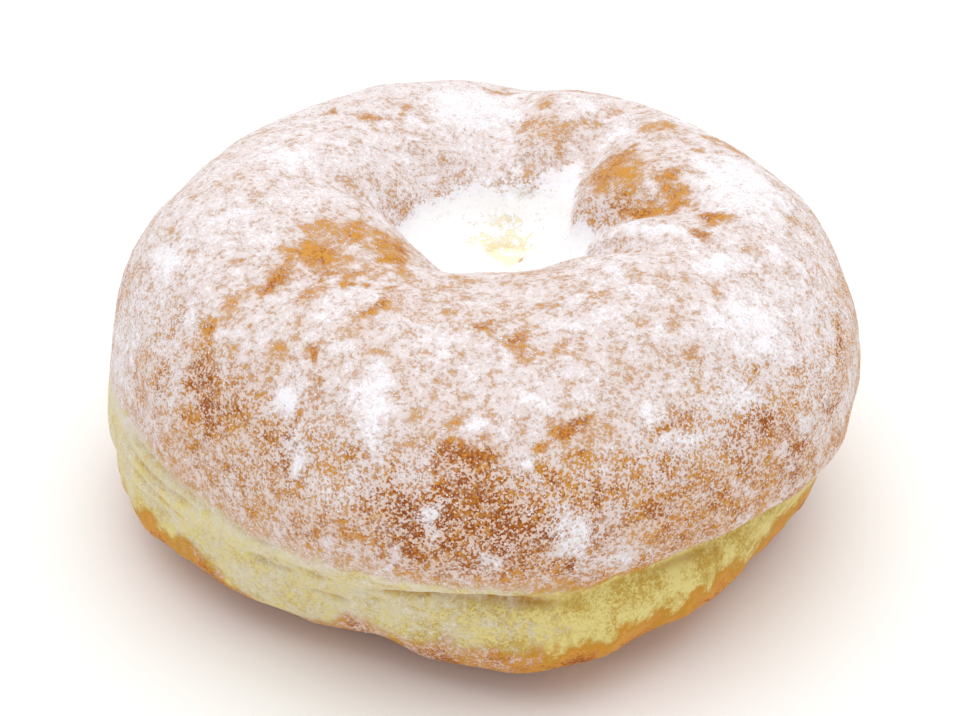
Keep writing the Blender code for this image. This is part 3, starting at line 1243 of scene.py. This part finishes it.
def band_wrinkles(count: int, seed: int) -> tuple[Groove, ...]:
    """Draws short level wrinkles at random round the band.

    Args:
        count: How many to draw.
        seed: The seed of the draw.

    Returns:
        The wrinkles.
    """
    draw = np.random.default_rng(seed)
    made = []
    for _ in range(count):
        azimuth, elevation = draw.uniform(-180.0, 180.0), draw.uniform(-6.0, 5.0)
        reach = draw.uniform(3.0, 8.0)
        slope, sag = draw.uniform(-1.5, 1.5), draw.uniform(-0.8, 0.8)
        made.append(
            Groove(
                (azimuth - reach, elevation - slope),
                (azimuth, elevation + sag),
                (azimuth + reach, elevation + slope),
                draw.uniform(0.15, 0.35),
                draw.uniform(0.3, 0.45),
            )
        )
    return tuple(made)


def drawn(clusters: tuple[Cluster, ...]) -> tuple[Patch, ...]:
    """All the patches of some clusters."""
    return tuple(patch for cluster in clusters for patch in cluster.patches())


def bump(values: np.ndarray, centre: float, spread: float) -> np.ndarray:
    """A smooth hump, 1 where a value is at its centre."""
    return np.exp(-(((values - centre) / spread) ** 2))


def around(azimuth: np.ndarray, heights: tuple[Pair, ...]) -> np.ndarray:
    """A measure given at some azimuths, read off at each azimuth."""
    return np.interp(azimuth, [a for a, _ in heights], [h for _, h in heights], period=360.0)


@dataclass
class LooseSugar:
    """Loose sugar on the skin: one grain modelled once and copied at many places.

    A grain stands for some sugar dust that has clumped.
    """

    name: str
    count: int
    size_mm: Pair
    flatness: float
    least_dusting: float
    thin_share: float
    seed: int
    finish: bpy.types.Material
    unevenness: float = 0.22
    thinnest: float = 0.3
    none_below_mm: Pair = (4.0, 9.0)
    stretch: Pair = (0.75, 1.3)
    lift: float = 0.25

    def model_grain(self) -> tuple[np.ndarray, np.ndarray]:
        """Models one grain, of unit radius and a little out of round.

        Returns:
            Its points and its triangles.
        """
        bpy.ops.object.select_all(action="DESELECT")
        bpy.ops.mesh.primitive_ico_sphere_add(subdivisions=1, radius=1.0)
        grain = bpy.context.active_object
        bpy.ops.object.mode_set(mode="EDIT")
        bpy.ops.mesh.select_all(action="SELECT")
        bpy.ops.transform.vertex_random(
            offset=self.unevenness, uniform=0.5, normal=0.5, seed=self.seed
        )
        bpy.ops.object.mode_set(mode="OBJECT")
        mesh = grain.data
        points = np.array([v.co for v in mesh.vertices])
        faces = np.array([tuple(p.vertices) for p in mesh.polygons])
        bpy.data.objects.remove(grain)
        bpy.data.meshes.remove(mesh)
        return points, faces

    def landings(
        self, skin_piece: bpy.types.Object, draw: np.random.Generator
    ) -> tuple[np.ndarray, np.ndarray]:
        """Draws where the grains lie: most where the dusting is thick, none near the foot.

        Args:
            skin_piece: The dough's finished skin.
            draw: The random draw.

        Returns:
            The places, and the outward direction at each.
        """
        mesh = skin_piece.data
        mesh.calc_loop_triangles()
        corners = np.empty(len(mesh.loop_triangles) * 3, np.int32)
        mesh.loop_triangles.foreach_get("vertices", corners)
        corners = corners.reshape(-1, 3)
        skin = Skin(skin_piece)
        dusting = np.empty(len(mesh.vertices), np.float32)
        mesh.attributes[Field.DUSTING.value].data.foreach_get("value", dusting)
        a, b, c = (skin.points[corners[:, i]] for i in range(3))
        area = 0.5 * np.linalg.norm(np.cross(b - a, c - a), axis=1)
        lie = dusting[corners].mean(1)
        thick = np.clip((lie - self.least_dusting) / (1.0 - self.least_dusting), 0.0, 1.0)
        thin = self.thin_share * np.clip(lie - self.thinnest, 0.0, 1.0)
        low_mm, high_mm = self.none_below_mm
        weight = area * (thin + thick) * smooth_step(a[:, 2], low_mm * MM, high_mm * MM)
        chosen = draw.choice(len(corners), size=self.count, p=weight / weight.sum())
        u, v = draw.random((2, self.count))
        over = u + v > 1.0
        u[over], v[over] = 1.0 - u[over], 1.0 - v[over]
        places = a[chosen] + (b - a)[chosen] * u[:, None] + (c - a)[chosen] * v[:, None]
        outward = skin.normals[corners[chosen]].mean(1)
        return places, outward / np.linalg.norm(outward, axis=1)[:, None]

    def build(self, skin_piece: bpy.types.Object, low: Vector, high: Vector) -> bpy.types.Object:
        """Strews the grains over the skin.

        Args:
            skin_piece: The dough's finished skin.
            low: The lowest corner of the box that they stay in.
            high: The highest corner of that box.

        Returns:
            The finished piece, all grains in one mesh.
        """
        draw = np.random.default_rng(self.seed)
        places, outward = self.landings(skin_piece, draw)
        points, faces = self.model_grain()
        smallest, largest = self.size_mm
        share = draw.uniform(0.0, 1.0, self.count) ** 2.0
        radii = (smallest + (largest - smallest) * share) * 0.5 * MM
        spin = draw.uniform(0.0, 2.0 * np.pi, self.count)
        helper = np.where(np.abs(outward[:, 2:3]) < 0.9, [[0.0, 0.0, 1.0]], [[1.0, 0.0, 0.0]])
        level = np.cross(helper, outward)
        level /= np.linalg.norm(level, axis=1)[:, None]
        upward = np.cross(outward, level)
        along = level * np.cos(spin)[:, None] + upward * np.sin(spin)[:, None]
        axes = np.stack([along, np.cross(outward, along), outward], axis=1)
        stretch = draw.uniform(*self.stretch, (self.count, 2))
        height = radii * self.flatness
        scale = np.stack([radii * stretch[:, 0], radii * stretch[:, 1], height], axis=1)
        placed = np.einsum("nij,njk->nik", points[None] * scale[:, None, :], axes)
        placed += (places + outward * (height * self.lift)[:, None])[:, None, :]
        inside = ((placed >= np.array(low)) & (placed <= np.array(high))).all(axis=(1, 2))
        placed = placed[inside]
        offsets = (np.arange(len(placed)) * len(points))[:, None, None]
        made = bpy.data.meshes.new(self.name)
        made.from_pydata(
            placed.reshape(-1, 3).tolist(), [], (faces[None] + offsets).reshape(-1, 3).tolist()
        )
        made.shade_smooth()
        piece = bpy.data.objects.new(self.name, made)
        bpy.context.scene.collection.objects.link(piece)
        made.materials.append(self.finish)
        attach(piece, BODY)
        return piece


@dataclass
class SugarDrift:
    """The sugar that has slid down into the dimple, as one closed heap."""

    finish: bpy.types.Material
    name: str = "sugar_drift"
    width_mm: float = 30.0
    columns: int = 84
    depth_mm: float = 1.5
    centre_mm: Pair = (-2.8, 3.2)
    spread_mm: float = 6.4
    sink_mm: float = 0.9
    ripple_mm: float = 0.3
    ripple_spacings_mm: Pair = (3.0, 1.1)
    buried_mm: float = 2.5
    least_thickness_mm: float = 0.4
    start_mm: float = 60.0
    slab_mm: float = 5.0
    drop_from_mm: float = 100.0

    def build(self, skin_piece: bpy.types.Object) -> bpy.types.Object:
        """Models the heap: a slab above the dimple, then lowered on to its floor.

        Args:
            skin_piece: The dough's finished skin.

        Returns:
            The finished piece.
        """
        bpy.ops.object.select_all(action="DESELECT")
        middle_x, middle_y = self.centre_mm
        bpy.ops.mesh.primitive_grid_add(
            x_subdivisions=self.columns,
            y_subdivisions=self.columns,
            size=self.width_mm * MM,
            location=(middle_x * MM, middle_y * MM, self.start_mm * MM),
        )
        piece = bpy.context.active_object
        piece.name = self.name
        piece.data.name = self.name
        bpy.ops.object.transform_apply(location=True, rotation=True, scale=True)
        bpy.ops.object.mode_set(mode="EDIT")
        bpy.ops.mesh.select_all(action="SELECT")
        thickness = (0.0, 0.0, self.slab_mm * MM)
        bpy.ops.mesh.extrude_region_move(TRANSFORM_OT_translate={"value": thickness})
        bpy.ops.mesh.select_all(action="SELECT")
        bpy.ops.mesh.normals_make_consistent(inside=False)
        bpy.ops.object.mode_set(mode="OBJECT")
        skin = Skin(skin_piece)
        broad_mm, fine_mm = self.ripple_spacings_mm
        for vert in piece.data.vertices:
            above = Vector((vert.co.x, vert.co.y, self.drop_from_mm * MM))
            floor = skin.tree.ray_cast(above, Vector((0.0, 0.0, -1.0)))[0]
            away = math.hypot(vert.co.x / MM - middle_x, vert.co.y / MM - middle_y)
            share = away / self.spread_mm
            ripple = noise.noise(vert.co / (broad_mm * MM))
            ripple += 0.5 * noise.noise(vert.co / (fine_mm * MM))
            rise = self.depth_mm * math.exp(-(share**4)) + self.ripple_mm * ripple
            top = floor.z + (rise - self.sink_mm * share**2) * MM
            lowest = min(floor.z - self.buried_mm * MM, top - self.least_thickness_mm * MM)
            is_top = vert.co.z > (self.start_mm + 0.5 * self.slab_mm) * MM
            vert.co.z = top if is_top else lowest
        piece.data.shade_smooth()
        piece.data.materials.append(self.finish)
        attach(piece, BODY)
        return piece


@dataclass
class Studio:
    """The pale floor, the soft light and the camera."""

    focal_px: float = 2917.0
    frame_width_px: int = 960
    sensor_mm: float = 36.0
    elevation_deg: float = 36.0
    distance: float = 0.34
    clip: Pair = (0.01, 20.0)
    target: tuple[float, float, float] = (-0.2 * MM, 0.0, 18.53 * MM)
    floor_width: float = 6.0
    floor_colour: str = "#FEFEFE"
    floor_roughness: float = 0.9
    sky_colour: str = "#FFFFFF"
    sky_strength: float = 0.69
    key_strength: float = 1.5
    key_spread_deg: float = 80.0
    key_from: tuple[float, float, float] = (0.02, 0.10, 0.98)

    def build(self) -> None:
        """Sets up the floor, the lights, the camera and the picture's tone."""
        self.lay_floor()
        self.light()
        self.aim_camera()
        settings = bpy.context.scene.view_settings
        settings.view_transform = "Standard"
        settings.look = "None"

    def lay_floor(self) -> None:
        """Lays a wide matt floor of pale board."""
        bpy.ops.object.select_all(action="DESELECT")
        bpy.ops.mesh.primitive_plane_add(size=self.floor_width, location=(0.0, 0.0, 0.0))
        floor = bpy.context.active_object
        floor.name = "floor"
        material, _, shader = new_material("pale_board_matt")
        colour = linear(self.floor_colour)
        set_inputs(shader, {"Base Color": colour, "Roughness": self.floor_roughness})
        floor.data.materials.append(material)

    def light(self) -> None:
        """Hangs a large soft lamp behind and above, under an even white sky."""
        world = bpy.data.worlds.new("soft_sky")
        world.use_nodes = True
        sky = world.node_tree.nodes["Background"]
        set_inputs(sky, {"Color": linear(self.sky_colour), "Strength": self.sky_strength})
        bpy.context.scene.world = world
        bpy.ops.object.light_add(type="SUN", location=self.key_from)
        key = bpy.context.active_object
        key.name = "key_light"
        key.data.energy = self.key_strength
        key.data.angle = math.radians(self.key_spread_deg)
        key.rotation_euler = (-Vector(self.key_from)).to_track_quat("-Z", "Y").to_euler()

    def aim_camera(self) -> None:
        """Aims the camera down at the doughnut's front."""
        bpy.ops.object.camera_add()
        camera = bpy.context.active_object
        camera.name = "camera"
        camera.data.sensor_width = self.sensor_mm
        camera.data.lens = self.focal_px * self.sensor_mm / self.frame_width_px
        camera.data.clip_start, camera.data.clip_end = self.clip
        rise = math.radians(self.elevation_deg)
        back = Vector((0.0, -math.cos(rise), math.sin(rise)))
        camera.location = Vector(self.target) + back * self.distance
        camera.rotation_euler = (-back).to_track_quat("-Z", "Y").to_euler()
        bpy.context.scene.camera = camera


def main() -> None:
    """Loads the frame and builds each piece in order."""
    logging.basicConfig(level=logging.INFO, format="%(name)s: %(message)s")
    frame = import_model()
    low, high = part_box(CAD_NODE)

    skin = DoughSkin().build(frame["nodes"][CAD_NODE])
    LOG.info("skin: %d faces", len(skin.data.polygons))
    sugar = PowderedSugar().material()
    drift = SugarDrift(sugar).build(skin)
    LOG.info("sugar drift: %d faces", len(drift.data.polygons))
    for heap in (
        LooseSugar(
            "sugar_crumbs", count=350, size_mm=(0.2, 0.4), flatness=0.4, least_dusting=0.5,
            thin_share=0.02, seed=11, finish=sugar,
        ),
        LooseSugar(
            "sugar_grains", count=9000, size_mm=(0.10, 0.24), flatness=0.6, least_dusting=0.2,
            thin_share=0.25, seed=12, finish=sugar,
        ),
    ):
        piece = heap.build(skin, low, high)
        LOG.info("%s: %d faces", heap.name, len(piece.data.polygons))
    Studio().build()


if __name__ == "__main__":
    main()
